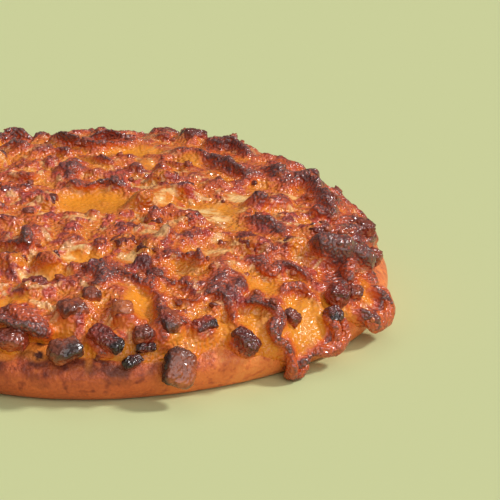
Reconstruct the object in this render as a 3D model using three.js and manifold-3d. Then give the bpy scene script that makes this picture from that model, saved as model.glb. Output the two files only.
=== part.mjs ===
// A mini salami pizza, well baked: a hand-formed round of yeast dough, a sheet of melted cheese
// with browned folds and fused salami crumbs over it, and separate salami dice sitting in the cheese.
//
// Units are millimetres, +Z is up. The origin is the middle of the flat underside.
// Places on the pizza are given as (u, v): the round surface of the dough rolled out flat, so that
// hypot(u, v) is the distance from the middle along the crust, over the shoulder and down the rim.
import * as THREE from 'three';
import { mergeVertices } from 'three/addons/utils/BufferGeometryUtils.js';
import Module from 'manifold-3d';

const wasm = await Module();
wasm.setup();

// Driving dimensions of the dough
const PIZZA_RADIUS = 70;
const DOUGH_HEIGHT = 17.5;
const WIDEST_HEIGHT = 5.5;
const FOOT_INSET = 3.6;
const CROWN_POWER = 3;

// Driving dimensions of the cheese. Its edge and its drips are distances along the crust.
const CHEESE_THICKNESS = 2.7;
const RIM_THICKNESS = 1.7;
const THINS_FROM = 42;
const THINS_TO = 68;
const CHEESE_REACH = 70.5;
const DRIP_REACH = 76;
const DRIP_CLEARANCE = 0.8;
const EDGE_ROUNDING = 4.5;
const HEM = 2.5;
const HEM_DEPTH = 1.6;
const SHEET_UNDERSIDE = -3;
const POOL_DEPTH = 0.9;
const POOL_SMOOTHING = 0.85;

// The gap between a piece and what it is seated in, and how far over the dough a die's foot may be
const SEAT_GAP = 0.3;
const HIGHEST_SEAT = 1.5;

// How far a turn from the middle departs from a true circle, as shares of the radius
const OVAL_SHARE = 0.010;
const TRIANGLE_SHARE = 0.014;
const SQUARE_SHARE = 0.024;

// Mesh fineness
const PROFILE_STEPS = 90;
const FOOT_STEPS = 15;
const DOUGH_SEGMENTS = 60;
const SEAT_SEGMENTS = 36;
const DOUGH_RINGS = 10;
const RING_CROWDING = 1.7;
const CHEESE_GRID = 34;
const FOLD_SIDES = 4;
const FOLD_STEP = 3.4;

// One seeded draw serves the whole model, so it comes out the same every time
const DRAW_RANGE = 2 ** 32;
const DRAW_FACTOR = 1664525;
const DRAW_STEP = 1013904223;
let drawState = 20611;

function draw(low, high) {
  drawState = (drawState * DRAW_FACTOR + DRAW_STEP) % DRAW_RANGE;
  return low + (high - low) * drawState / DRAW_RANGE;
}

function smoothStep(from, to, value) {
  const share = Math.min(1, Math.max(0, (value - from) / (to - from)));
  return share * share * (3 - 2 * share);
}

function radians(degrees) {
  return degrees * Math.PI / 180;
}

function outOfRound(angle) {
  return -OVAL_SHARE * Math.cos(2 * angle) - TRIANGLE_SHARE * Math.cos(3 * angle)
    - SQUARE_SHARE * Math.sin(4 * angle);
}

// The dough's half section: a flat-topped crown, a round shoulder, and a rim that curls in to the foot
function doughProfile() {
  const points = [];
  for (let i = 0; i <= PROFILE_STEPS; i++) {
    const share = 1 - (1 - i / PROFILE_STEPS) ** 2;
    const rise = Math.sqrt(Math.max(0, 1 - share ** CROWN_POWER));
    const height = WIDEST_HEIGHT + (DOUGH_HEIGHT - WIDEST_HEIGHT) * rise;
    points.push({ radius: PIZZA_RADIUS * share, height });
  }
  for (let i = 1; i <= FOOT_STEPS; i++) {
    const turn = i / FOOT_STEPS * Math.PI / 2;
    points.push({
      radius: PIZZA_RADIUS - FOOT_INSET * (1 - Math.cos(turn)),
      height: WIDEST_HEIGHT * (1 - Math.sin(turn)),
    });
  }
  points[0].distance = 0;
  for (let i = 1; i < points.length; i++) {
    const [before, point] = [points[i - 1], points[i]];
    point.distance = before.distance + Math.hypot(point.radius - before.radius, point.height - before.height);
  }
  points.forEach((point, i) => {
    const before = points[Math.max(0, i - 1)];
    const after = points[Math.min(points.length - 1, i + 1)];
    const length = Math.hypot(after.radius - before.radius, after.height - before.height);
    point.outward = (before.height - after.height) / length;
    point.upward = (after.radius - before.radius) / length;
  });
  return points;
}

const profile = doughProfile();
const CRUST_LENGTH = profile[profile.length - 1].distance;

// Radius and height of the section at a distance from the middle, lifted square off the surface
function sectionAt(distance, lift) {
  let i = 1;
  while (i < profile.length - 1 && profile[i].distance < distance) i++;
  const before = profile[i - 1];
  const after = profile[i];
  const share = Math.min(1, (distance - before.distance) / (after.distance - before.distance));
  const mix = key => before[key] + (after[key] - before[key]) * share;
  const outward = mix('outward');
  const upward = mix('upward');
  const length = Math.hypot(outward, upward);
  return new THREE.Vector2(mix('radius') + lift * outward / length, mix('height') + lift * upward / length);
}

// Pulls a true round out of shape, most at its rim
function handFormed(x, y, z) {
  const radius = Math.hypot(x, y);
  const spread = 1 + outOfRound(Math.atan2(y, x)) * (radius / PIZZA_RADIUS) ** 2;
  return new THREE.Vector3(x * spread, y * spread, z);
}

// The point over the dough at (u, v), lifted square off its surface
function place(u, v, lift) {
  const distance = Math.hypot(u, v);
  const section = sectionAt(distance, lift);
  const scale = distance > 0 ? section.x / distance : 0;
  return handFormed(u * scale, v * scale, section.y);
}

// The solid inside a closed mesh, whose corners are merged first
function solidFrom(geometry) {
  const bare = new THREE.BufferGeometry();
  bare.setAttribute('position', geometry.getAttribute('position'));
  bare.setIndex(geometry.index);
  const merged = mergeVertices(bare, 1e-4);
  const corners = [];
  const index = merged.index.array;
  for (let i = 0; i < index.length; i += 3) {
    const [a, b, c] = [index[i], index[i + 1], index[i + 2]];
    if (a !== b && b !== c && a !== c) corners.push(a, b, c);
  }
  const build = triVerts => new wasm.Manifold(new wasm.Mesh({
    numProp: 3,
    vertProperties: new Float32Array(merged.attributes.position.array),
    triVerts: new Uint32Array(triVerts),
  }));
  const solid = build(corners);
  if (solid.volume() > 0) return solid;
  return build(corners.reverse());
}

// The largest body of a solid as a named mesh
function meshFrom(solid, name, material) {
  const biggest = solid.decompose().sort((a, b) => b.volume() - a.volume())[0];
  const { vertProperties, triVerts } = biggest.getMesh();
  const geometry = new THREE.BufferGeometry();
  geometry.setAttribute('position', new THREE.BufferAttribute(vertProperties, 3));
  geometry.setIndex(new THREE.BufferAttribute(triVerts, 1));
  geometry.computeVertexNormals();
  const mesh = new THREE.Mesh(geometry, material);
  mesh.name = name;
  return mesh;
}

// Moves every corner of a geometry by a function of its place
function reshape(geometry, move) {
  const position = geometry.getAttribute('position');
  for (let i = 0; i < position.count; i++) {
    const moved = move(position.getX(i), position.getY(i), position.getZ(i));
    position.setXYZ(i, moved.x, moved.y, moved.z);
  }
  return geometry;
}

// The dough: its half section turned on a lathe, then pulled out of round by hand
function doughSolid(segments, grow) {
  const points = [new THREE.Vector2(0, -grow)];
  for (let ring = 0; ring <= DOUGH_RINGS; ring++) {
    const fromFoot = (ring / DOUGH_RINGS) ** RING_CROWDING;
    points.push(sectionAt(CRUST_LENGTH * (1 - fromFoot), grow));
  }
  points[1].y = -grow;
  points[points.length - 1].x = 0;
  const lathe = new THREE.LatheGeometry(points, segments);
  lathe.rotateX(Math.PI / 2);
  return solidFrom(reshape(lathe, handFormed));
}

// The cheese's edge ripples round the rim
const edgeRipples = [
  { size: 1.1, count: 5, start: 1 },
  { size: 0.9, count: 11, start: 0 },
  { size: 0.5, count: 17, start: 2 },
];

// Cheese runs further down the rim at each drip, and stops short where the length is below zero:
// each one's heading and width in degrees, and its length
const drips = [
  { heading: -50, width: 8.5, length: 7 },
  { heading: -28, width: 6.5, length: 5.5 },
  { heading: -13, width: 7, length: -2.5 },
  { heading: -76, width: 6, length: 2.5 },
  { heading: -101, width: 10, length: -5 },
  { heading: 38, width: 7, length: 5 },
  { heading: 101, width: 8, length: 6 },
  { heading: 156, width: 9, length: 5 },
  { heading: -152, width: 7, length: 6 },
  { heading: -118, width: 8, length: 3 },
];

function cheeseEdge(u, v) {
  const angle = Math.atan2(v, u);
  let edge = CHEESE_REACH;
  for (const ripple of edgeRipples) edge += ripple.size * Math.sin(ripple.count * angle + ripple.start);
  for (const drip of drips) {
    const off = angle - radians(drip.heading);
    const turned = Math.atan2(Math.sin(off), Math.cos(off)) / radians(drip.width);
    edge += drip.length * Math.exp(-(turned ** 2));
  }
  return Math.min(edge, DRIP_REACH);
}

// Smooth pools of cheese that nothing pokes through: middle and half widths. A pool is full within
// POOL_CORE of its oval's squared reach and gone at POOL_END.
const POOL_CORE = 0.5;
const POOL_END = 1.35;
const pools = [
  { u: -1, v: -2, across: 9.5, along: 7.5 },
  { u: 26, v: -3, across: 8, along: 5 },
  { u: -4.5, v: -34, across: 5, along: 3.6 },
  { u: -12, v: -42, across: 6, along: 2.6 },
  { u: 9, v: -56, across: 3, along: 5 },
  { u: 46, v: -51, across: 5.5, along: 4.5 },
  { u: 36, v: -57, across: 4.5, along: 3 },
  { u: 36, v: -41, across: 5, along: 3 },
  { u: 10, v: 37, across: 7, along: 4 },
  { u: -38, v: 12, across: 8, along: 6 },
  { u: -47, v: -22, across: 6, along: 7 },
  { u: -30, v: 43, across: 7, along: 5 },
];

function poolShare(u, v) {
  let most = 0;
  for (const pool of pools) {
    const away = ((u - pool.u) / pool.across) ** 2 + ((v - pool.v) / pool.along) ** 2;
    most = Math.max(most, 1 - smoothStep(POOL_CORE, POOL_END, away));
  }
  return most;
}

// Salami dice that stand clear of the cheese: place, length, width, height and turn in degrees. The
// front ones are set one by one, and a rule fills the rear left quarter.
const dice = [
  { u: -7.5, v: -67, length: 7.8, width: 5.8, height: 4.4, turn: 15 },
  { u: 1.2, v: -65.6, length: 9.6, width: 4.6, height: 3.8, turn: -41 },
  { u: 8.8, v: -64.2, length: 4.8, width: 4.2, height: 3.7, turn: 12 },
  { u: 9.6, v: -66.9, length: 4.4, width: 2.2, height: 2.2, turn: 4 },
  { u: 7.2, v: -69.2, length: 4.6, width: 2, height: 2, turn: 26 },
  { u: 17, v: -69.8, length: 7.6, width: 8.8, height: 4.6, turn: -6 },
  { u: -6, v: -57, length: 6.6, width: 5.2, height: 4.4, turn: 20 },
  { u: -2, v: -52.2, length: 4.4, width: 3.6, height: 3.8, turn: 0 },
  { u: 4.6, v: -58.2, length: 5.4, width: 4.4, height: 4.2, turn: -8 },
  { u: 14.8, v: -61, length: 5, width: 6.2, height: 4.6, turn: 24 },
  { u: 22.4, v: -59.6, length: 5, width: 3.8, height: 3.2, turn: 34 },
  { u: 31.8, v: -61.2, length: 6.8, width: 4.4, height: 3.2, turn: -33 },
  { u: 52, v: -41.4, length: 5.4, width: 5, height: 4.6, turn: 10 },
  { u: 50.8, v: -47, length: 3.8, width: 3.6, height: 3.2, turn: 40 },
  { u: 63.2, v: -5.6, length: 4.8, width: 5.2, height: 4.2, turn: 8 },
  { u: 23, v: 49.5, length: 6.4, width: 6, height: 5.4, turn: 44 },
  { u: 42, v: -51.8, length: 4.2, width: 3.6, height: 3.4, turn: -20 },
  { u: 56.5, v: -37, length: 3.6, width: 3.6, height: 3.2, turn: 15 },
  { u: 63.2, v: -17.5, length: 4.2, width: 4.4, height: 3.4, turn: -12 },
  { u: -18.8, v: -63, length: 6.2, width: 4.8, height: 4, turn: -10 },
  { u: -14.5, v: -47.5, length: 5.4, width: 4.4, height: 3.8, turn: 20 },
  { u: -19.5, v: -36.5, length: 5.4, width: 4.8, height: 3.8, turn: -22 },
  { u: -11.5, v: -36.8, length: 5, width: 4.2, height: 4, turn: 12 },
  { u: 5, v: -27.5, length: 5, width: 4.4, height: 3.8, turn: 35 },
  { u: 10.5, v: -31.5, length: 4.6, width: 4, height: 3.6, turn: -15 },
  { u: 33.5, v: -26.2, length: 6.6, width: 5.2, height: 4.2, turn: -25 },
  { u: 43.5, v: -25, length: 4.8, width: 4.2, height: 4, turn: 40 },
  { u: 15, v: 11.5, length: 4.8, width: 4.2, height: 4.2, turn: 22 },
  { u: 9.6, v: -4.5, length: 4.6, width: 4.2, height: 4.4, turn: 10 },
  { u: -12.8, v: -3.4, length: 4.2, width: 4, height: 4.2, turn: 0 },
  { u: 20, v: 4.6, length: 4.4, width: 4, height: 4, turn: 28 },
  { u: 50.5, v: -15.5, length: 5, width: 4.4, height: 4, turn: -18 },
  { u: 20.5, v: -13.6, length: 4.6, width: 4, height: 3.8, turn: 50 },
  { u: 12, v: -44.5, length: 3.8, width: 3.4, height: 3.8, turn: 15 },
];
const DICE_IN_ALL = 46;

function clearOfDice(u, v, distance) {
  return dice.every(other => Math.hypot(u - other.u, v - other.v) > distance + other.length / 2);
}

while (dice.length < DICE_IN_ALL) {
  const angle = radians(draw(105, 250));
  const distance = 68 * Math.sqrt(draw(0.12, 1));
  const [u, v] = [distance * Math.cos(angle), distance * Math.sin(angle)];
  const [length, width, height, turn] = [draw(4.6, 8), draw(4.2, 5.8), draw(3.8, 4.8), draw(-90, 90)];
  const clear = u < -26 && clearOfDice(u, v, 8) && poolShare(u, v) < 0.1;
  if (clear) dice.push({ u, v, length, width, height, turn });
}

// Browned folds of cheese that stand up like creases: the line each one follows, its width and height
const folds = [
  { width: 3.4, height: 2.8, line: [[-9.5, 14], [-7, 9], [-4, 5.5], [-1, 7.5], [2, 8], [6, 5]] },
  { width: 3, height: 1.8, line: [[-9.5, 15], [-6, 18], [-1.5, 17.5]] },
  { width: 4, height: 3.2, line: [[-4, -46.5], [-1, -48], [3, -44], [6, -44.5], [10, -47], [14, -51.5]] },
  { width: 2.8, height: 2.6, line: [[12.5, -43], [15.5, -45.5], [17.5, -44.5], [20.5, -47.5]] },
  { width: 2.4, height: 2.2, line: [[16, -51], [18, -52], [21, -52]] },
  { width: 4.2, height: 3.2, line: [[11.5, -52], [13, -56], [14.5, -60]] },
  { width: 2.6, height: 2.2, line: [[15, -60], [17.5, -59.5], [20.5, -60.5]] },
  { width: 5.4, height: 4.6, line: [[-26, -55.5], [-21.5, -57.5], [-19, -58], [-14.5, -60], [-10, -62.5]] },
  { width: 3.8, height: 2.8, line: [[11, -39], [14, -36], [17, -34.5], [22, -35.5]] },
  { width: 3.6, height: 2.8, line: [[-25, -26], [-21.5, -27], [-17.5, -30], [-15, -32]] },
  { width: 6.6, height: 5.2, line: [[49, -26], [52, -22.5], [56, -21], [60, -23.5]] },
  { width: 4.2, height: 4, line: [[58, -23], [56.5, -27], [54.5, -34]] },
  {
    width: 3.2,
    height: 3.2,
    line: [[30.5, -51], [34, -50], [37.5, -51], [39.5, -54], [37.8, -57], [39, -59], [42, -57.6]],
  },
  {
    width: 3.2,
    height: 2.8,
    line: [[31, -34.5], [35.5, -34], [38, -37.5], [41, -33], [45, -34.5], [47.5, -37.5]],
  },
  { width: 2.6, height: 2.4, line: [[39.5, -45], [41, -42], [44.5, -41], [47.5, -43.5]] },
  { width: 4.6, height: 3.8, line: [[42, -58.5], [43.6, -61.2], [45.4, -62.2], [47, -60], [47.2, -57.5]] },
  {
    width: 3.4,
    height: 3,
    line: [[47.5, -57], [50, -54.5], [53, -51.5], [54.5, -49], [54, -46.5], [52, -45]],
  },
  { width: 3.2, height: 2.8, line: [[48.5, -47.5], [50.8, -49.2], [52.5, -52]] },
  { width: 2.8, height: 2.6, line: [[22, -50.5], [25.5, -48.5], [27.5, -51.5], [29.5, -57]] },
  { width: 5.4, height: 2.6, line: [[23.5, -52.5], [26, -54]] },
  { width: 4.2, height: 3, line: [[33, -9], [37, -12], [40.5, -15.5], [42.5, -20]] },
  {
    width: 4,
    height: 3.6,
    line: [[60, -32], [63.5, -31.5], [65.2, -33], [64.8, -36], [62.8, -38.5], [59.5, -41], [57, -40.5]],
  },
  { width: 5.2, height: 3.6, line: [[25, 31], [29.5, 26], [33, 20.5], [38, 20]] },
  { width: 5, height: 3, line: [[33, 9], [35, 13], [37, 17]] },
  { width: 4, height: 3.2, line: [[41, 26], [43, 23], [44.5, 18.5]] },
  { width: 3.8, height: 3.2, line: [[47, 18], [51, 20.5], [54, 15], [56, 7]] },
  { width: 4.6, height: 3.8, line: [[29, 43.5], [33, 43.5], [37.5, 38]] },
  { width: 4, height: 3.6, line: [[-11.5, 47], [-8, 45.5], [-5.5, 44.5]] },
  { width: 4.8, height: 3.8, line: [[-3, 46], [1, 47.5], [6, 46.5]] },
  { width: 6.4, height: 4, line: [[-27, 52], [-23, 53.5], [-18, 53]] },
  { width: 3.4, height: 2.6, line: [[-15, 33.5], [-11, 34.5], [-8, 32]] },
  { width: 5.2, height: 3, line: [[-26, 38], [-22, 39.5], [-19, 37]] },
  { width: 3.6, height: 2.6, line: [[-4, 31], [0, 27.5], [3.5, 25]] },
  { width: 3.6, height: 3, line: [[54.5, 7], [56.5, 2.5], [56, -3]] },
  { width: 3, height: 2.4, line: [[15.5, 27], [19, 24.5], [22.5, 25.5]] },
  { width: 3.2, height: 2.4, line: [[-2, 37], [2, 39.5], [8, 40.5]] },
];
const FOLDS_IN_ALL = 44;
const WANDER_STEP = 3.6;

// A fold of the rear left quarter wanders from where it starts, turning a little at each step
while (folds.length < FOLDS_IN_ALL) {
  const start = radians(draw(110, 245));
  const distance = 66 * Math.sqrt(draw(0.16, 1));
  let heading = draw(0, 2 * Math.PI);
  const line = [[distance * Math.cos(start), distance * Math.sin(start)]];
  const steps = 3 + Math.floor(draw(0, 3));
  for (let i = 0; i < steps; i++) {
    const [u, v] = line[line.length - 1];
    heading += draw(-0.8, 0.8);
    line.push([u + WANDER_STEP * Math.cos(heading), v + WANDER_STEP * Math.sin(heading)]);
  }
  const [width, height] = [draw(3, 5), draw(2.4, 4)];
  const clear = line.every(([u, v]) => u < -24 && Math.hypot(u, v) < 69 && poolShare(u, v) < 0.3);
  if (clear) folds.push({ width, height, line });
}

// Lumps are dice with cheese baked over them: low mounds with blunt corners, one in each cell of a
// jittered grid that covers the cheese
const LUMP_SPACING = 7.4;
const LUMP_CORE = 0.3;
const LUMP_END = 1.9;
const LUMP_BLUNTNESS = 2.6;
const lumps = [];
for (let column = -9; column <= 9; column++) {
  for (let row = -9; row <= 9; row++) {
    const u = (column + draw(-0.36, 0.36)) * LUMP_SPACING;
    const v = (row + draw(-0.36, 0.36)) * LUMP_SPACING;
    const [across, along, height] = [draw(2.4, 4), draw(2.1, 3.3), draw(0.4, 2.8)];
    const turn = radians(draw(-90, 90));
    if (Math.hypot(u, v) < 69) lumps.push({ u, v, across, along, turn, height });
  }
}

function lumpLift(lump, u, v) {
  const [cos, sin] = [Math.cos(lump.turn), Math.sin(lump.turn)];
  const [du, dv] = [u - lump.u, v - lump.v];
  const across = Math.abs(du * cos + dv * sin) / lump.across;
  const along = Math.abs(dv * cos - du * sin) / lump.along;
  const away = across ** LUMP_BLUNTNESS + along ** LUMP_BLUNTNESS;
  return lump.height * (1 - smoothStep(LUMP_CORE, LUMP_END, away));
}

// Long low waves in the sheet: their height, how fast they run along u and v, and where they start
const sways = [
  { height: 0.4, alongU: 0.21, alongV: 0.13, start: 1 },
  { height: 0.35, alongU: -0.24, alongV: 0.17, start: 2.2 },
  { height: 0.2, alongU: 0.43, alongV: 0.37, start: 0 },
];

// Height of the cheese over the dough. Past its edge the sheet dips under the dough's surface.
function cheeseLift(u, v) {
  const distance = Math.hypot(u, v);
  const pool = poolShare(u, v);
  const thinned = smoothStep(THINS_FROM, THINS_TO, distance);
  let thickness = CHEESE_THICKNESS + (RIM_THICKNESS - CHEESE_THICKNESS) * thinned;
  for (const { height, alongU, alongV, start } of sways) {
    thickness += height * Math.sin(alongU * u + alongV * v + start);
  }
  const bump = Math.cbrt(lumps.reduce((sum, lump) => sum + lumpLift(lump, u, v) ** 3, 0));
  thickness += bump * (1 - POOL_SMOOTHING * pool) - POOL_DEPTH * pool;
  const edge = cheeseEdge(u, v);
  const inside = smoothStep(edge + HEM / 2, edge - EDGE_ROUNDING, distance);
  return inside * thickness - HEM_DEPTH * (1 - inside);
}

// A square sheet is drawn out to a disc with even cells, then its top takes the cheese's relief and
// its underside sinks into the dough
function cheeseSheet() {
  const sheet = new THREE.BoxGeometry(2, 2, 2, CHEESE_GRID, CHEESE_GRID, 1);
  return solidFrom(reshape(sheet, (x, y, z) => {
    let angle = 0;
    if (Math.abs(x) >= Math.abs(y) && x !== 0) angle = Math.PI / 4 * y / x + (x < 0 ? Math.PI : 0);
    else if (y !== 0) angle = Math.PI / 2 - Math.PI / 4 * x / y + (y < 0 ? Math.PI : 0);
    const outline = cheeseEdge(Math.cos(angle), Math.sin(angle)) + HEM;
    const reach = outline * Math.max(Math.abs(x), Math.abs(y));
    const [u, v] = [reach * Math.cos(angle), reach * Math.sin(angle)];
    return place(u, v, z > 0 ? cheeseLift(u, v) : SHEET_UNDERSIDE);
  }));
}

// A fold is a bar that tapers to both ends, laid along its line and half sunk in the sheet. It lies
// flatter on the rim, between DRIPS_FROM and DRIPS_TO along the crust.
const FOLD_SINK = 0.6;
const FOLD_FLATTENING = 0.25;
const DRIPS_FROM = 69;
const DRIPS_TO = 77;

function foldSolid(fold) {
  const curve = new THREE.CatmullRomCurve3(fold.line.map(([u, v]) => new THREE.Vector3(u, v, 0)));
  const steps = Math.max(3, Math.round(curve.getLength() / FOLD_STEP));
  const bar = new THREE.CylinderGeometry(1, 1, 1, FOLD_SIDES, steps);
  return solidFrom(reshape(bar, (x, y, z) => {
    const share = y + 0.5;
    const middle = curve.getPoint(share);
    const ahead = curve.getTangent(share);
    const taper = 0.5 + 0.5 * Math.sin(Math.PI * share);
    const onRim = smoothStep(DRIPS_FROM, DRIPS_TO, Math.hypot(middle.x, middle.y));
    const across = x * taper * fold.width / 2;
    const lift = (CHEESE_THICKNESS - FOLD_SINK + z * taper * fold.height) * (1 - FOLD_FLATTENING * onRim);
    const [u, v] = [middle.x - ahead.y * across, middle.y + ahead.x * across];
    const corner = place(u, v, Math.max(lift, -FOLD_SINK));
    corner.z = Math.max(corner.z, DRIP_CLEARANCE);
    return corner;
  }));
}

// Where a block stands square on the crust, turned as it lies, with its foot at a lift over the dough
function standing(block, footLift) {
  const { u, v } = block;
  const foot = place(u, v, footLift);
  const east = place(u + 0.5, v, footLift).sub(place(u - 0.5, v, footLift));
  const up = place(u, v, footLift + 1).sub(foot).normalize();
  const north = new THREE.Vector3().crossVectors(up, east).normalize();
  const upright = new THREE.Matrix4().makeBasis(north.clone().cross(up), north, up).setPosition(foot);
  return upright.multiply(new THREE.Matrix4().makeRotationZ(radians(block.turn)));
}

function plainBlock(block, margin) {
  const [length, width, height] = [block.length, block.width, block.height].map(side => side + 2 * margin);
  return new THREE.BoxGeometry(length, width, height).translate(0, 0, block.height / 2);
}

// A die of salami with blunt, uneven corners, kept within its plain block
const BLUNTING = 0.21;
const UNEVENNESS = 0.06;

function bluntBlock(die) {
  const box = new THREE.BoxGeometry(1, 1, 1, 2, 2, 2);
  reshape(box, (x, y, z) => {
    const blunt = 1 - BLUNTING * (Math.abs(x) + Math.abs(y) + Math.abs(z) - 0.5);
    const uneven = 1 - UNEVENNESS * (1 + Math.sin(9 * x + 14 * y + 11 * z + die.u * 3 + die.v * 5));
    return new THREE.Vector3(x, y, z).multiplyScalar(blunt * uneven);
  });
  return box.scale(die.length, die.width, die.height).translate(0, 0, die.height / 2);
}

// A die's foot is halfway down the cheese, clear of the dough
function diceFootLift(die) {
  return Math.min(HIGHEST_SEAT, Math.max(SEAT_GAP + 0.1, 0.5 * cheeseLift(die.u, die.v)));
}

// Crumbs of salami that are fused to the cheese, spread evenly and kept off the pools and the dice
const CRUMB_SPACING = 13.6;
const CRUMB_SINK = 1.4;
const crumbs = [];
for (let column = -5; column <= 5; column++) {
  for (let row = -5; row <= 5; row++) {
    const u = (column + draw(-0.42, 0.42)) * CRUMB_SPACING;
    const v = (row + draw(-0.42, 0.42)) * CRUMB_SPACING;
    const [length, width, height] = [draw(3, 4.8), draw(2.6, 4), draw(2.6, 3.6)];
    const [turn, tilt] = [draw(-90, 90), draw(-0.5, 0.5)];
    const onCheese = Math.hypot(u, v) < cheeseEdge(u, v) - 8 && poolShare(u, v) < 0.25;
    if (onCheese && clearOfDice(u, v, 2.6)) crumbs.push({ u, v, length, width, height, turn, tilt });
  }
}

// The finishes: tanned bread, browned cheese and dark baked meat
const bakedCrust = new THREE.MeshStandardMaterial({ color: '#bb6d36', roughness: 0.62, metalness: 0 });
const brownedCheese = new THREE.MeshStandardMaterial({ color: '#c4682f', roughness: 0.38, metalness: 0 });
const bakedSalami = new THREE.MeshStandardMaterial({ color: '#6e3226', roughness: 0.42, metalness: 0 });

// Putting it together: the crust, the dice seated on it, and the cheese cut to fit round both
const pizza = new THREE.Group();
const dough = doughSolid(DOUGH_SEGMENTS, 0);
const chordSlack = PIZZA_RADIUS * (1 - Math.cos(Math.PI / SEAT_SEGMENTS));
const doughSeat = doughSolid(SEAT_SEGMENTS, SEAT_GAP + chordSlack);
pizza.add(meshFrom(dough, 'dough_base', bakedCrust));

const diceOnPizza = new THREE.Group();
dice.forEach((die, i) => {
  const mesh = new THREE.Mesh(bluntBlock(die), bakedSalami);
  mesh.name = 'salami_' + String(i + 1).padStart(2, '0');
  mesh.applyMatrix4(standing(die, diceFootLift(die)));
  diceOnPizza.add(mesh);
});
pizza.add(diceOnPizza);

let cheese = cheeseSheet();
for (const fold of folds) cheese = cheese.add(foldSolid(fold));
for (const crumb of crumbs) {
  const block = plainBlock(crumb, 0).rotateX(crumb.tilt);
  const seat = standing(crumb, cheeseLift(crumb.u, crumb.v) - CRUMB_SINK);
  cheese = cheese.add(solidFrom(block.applyMatrix4(seat)));
}
cheese = cheese.subtract(doughSeat);
for (const die of dice) {
  const socket = plainBlock(die, SEAT_GAP).applyMatrix4(standing(die, diceFootLift(die)));
  cheese = cheese.subtract(solidFrom(socket));
}
pizza.add(meshFrom(cheese, 'cheese_topping', brownedCheese));

export default pizza;
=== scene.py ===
import bmesh
import bpy
import math

import numpy as np
from mathutils import Matrix, Vector, noise
from mathutils.bvhtree import BVHTree


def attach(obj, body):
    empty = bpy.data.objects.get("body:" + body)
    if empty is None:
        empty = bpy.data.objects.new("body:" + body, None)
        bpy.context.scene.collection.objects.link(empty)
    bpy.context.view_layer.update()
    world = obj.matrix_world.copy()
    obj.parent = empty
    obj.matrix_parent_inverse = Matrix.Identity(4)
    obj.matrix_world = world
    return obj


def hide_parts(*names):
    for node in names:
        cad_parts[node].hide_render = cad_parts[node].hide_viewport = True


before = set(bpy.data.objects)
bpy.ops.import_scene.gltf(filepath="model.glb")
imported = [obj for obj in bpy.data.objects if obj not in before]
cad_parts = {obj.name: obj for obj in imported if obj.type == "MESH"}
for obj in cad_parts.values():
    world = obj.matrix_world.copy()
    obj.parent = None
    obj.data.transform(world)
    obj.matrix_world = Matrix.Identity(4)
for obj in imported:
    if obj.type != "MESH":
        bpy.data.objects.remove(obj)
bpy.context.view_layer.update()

# The crust: a round of yeast dough pressed out by hand, risen to a low dome with a curled-in foot,
# and baked on a bare tray. Its skin is smooth bread with a baked tan, browner where the topping ran over it.
MM = 0.001
PIZZA_RADIUS = 70.0
DOUGH_HEIGHT = 17.5
WIDEST_HEIGHT = 5.5
FOOT_INSET = 3.6
CROWN_POWER = 3.0
CROWN_STEPS = 400
FOOT_STEPS = 60
SLOPE_REACH = 0.2


def dough_section():
    """Distance from the middle along the crust, with the radius and height reached there, in mm."""
    share = 1 - (1 - np.linspace(0, 1, CROWN_STEPS)) ** 2
    arch = np.sqrt(np.clip(1 - share ** CROWN_POWER, 0, 1))
    crown = WIDEST_HEIGHT + (DOUGH_HEIGHT - WIDEST_HEIGHT) * arch
    turn = np.linspace(0, math.pi / 2, FOOT_STEPS)[1:]
    radius = np.concatenate([PIZZA_RADIUS * share, PIZZA_RADIUS - FOOT_INSET * (1 - np.cos(turn))])
    height = np.concatenate([crown, WIDEST_HEIGHT * (1 - np.sin(turn))])
    along = np.concatenate([[0], np.cumsum(np.hypot(np.diff(radius), np.diff(height)))])
    return along, radius, height


section_along, section_radius, section_height = dough_section()
CRUST_LENGTH = section_along[-1]


def out_of_round(angle):
    """How far the hand-formed rim stands out at an angle, as a share of the radius."""
    return -0.010 * np.cos(2 * angle) - 0.014 * np.cos(3 * angle) - 0.024 * np.sin(4 * angle)


def place(u, v, lift):
    """The points over the dough at (u, v), the crust's surface rolled out flat, at a lift off it, in mm."""
    along = np.hypot(u, v)
    angle = np.arctan2(v, u)
    near, far = np.maximum(along - SLOPE_REACH, 0), along + SLOPE_REACH
    rise, run = (np.interp(far, section_along, reached) - np.interp(near, section_along, reached)
                 for reached in (section_height, section_radius))
    length = np.maximum(np.hypot(rise, run), 1e-9)
    radius = np.interp(along, section_along, section_radius) - lift * rise / length
    height = np.interp(along, section_along, section_height) + lift * run / length
    radius = radius * (1 + out_of_round(angle) * (radius / PIZZA_RADIUS) ** 2)
    return np.stack([radius * np.cos(angle), radius * np.sin(angle), height], -1)


def smooth_step(low, high, value):
    """Rises smoothly from 0 at low to 1 at high, or falls where low is the higher one."""
    share = np.clip((value - low) / (high - low), 0, 1)
    return share * share * (3 - 2 * share)


def noise_over(points, size, octaves=1, seed=0.0):
    """Smooth noise from -1 to 1 at each point, with features of a size in mm."""
    shift = Vector((seed, seed * 1.7, seed * 0.6))
    found = [noise.fractal(Vector(p) / size + shift, 1.0, 2.0, octaves) for p in points.tolist()]
    return np.array(found)


# Where a spot starts to fade and where it ends, as shares of its half length and width, squared
SPOT_CORE = 0.35
SPOT_END = 1.5


def spots_share(u, v, spots):
    """How strongly oval spots mark each place. A spot is its u, v, half length and half width in mm, its
    turn in degrees and its strength."""
    most = np.zeros_like(u)
    for spot_u, spot_v, half_long, half_wide, turn, strength in spots:
        cos, sin = math.cos(math.radians(turn)), math.sin(math.radians(turn))
        du, dv = u - spot_u, v - spot_v
        away = ((du * cos + dv * sin) / half_long) ** 2 + ((dv * cos - du * sin) / half_wide) ** 2
        most = np.maximum(most, strength * (1 - smooth_step(SPOT_CORE, SPOT_END, away)))
    return most


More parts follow.
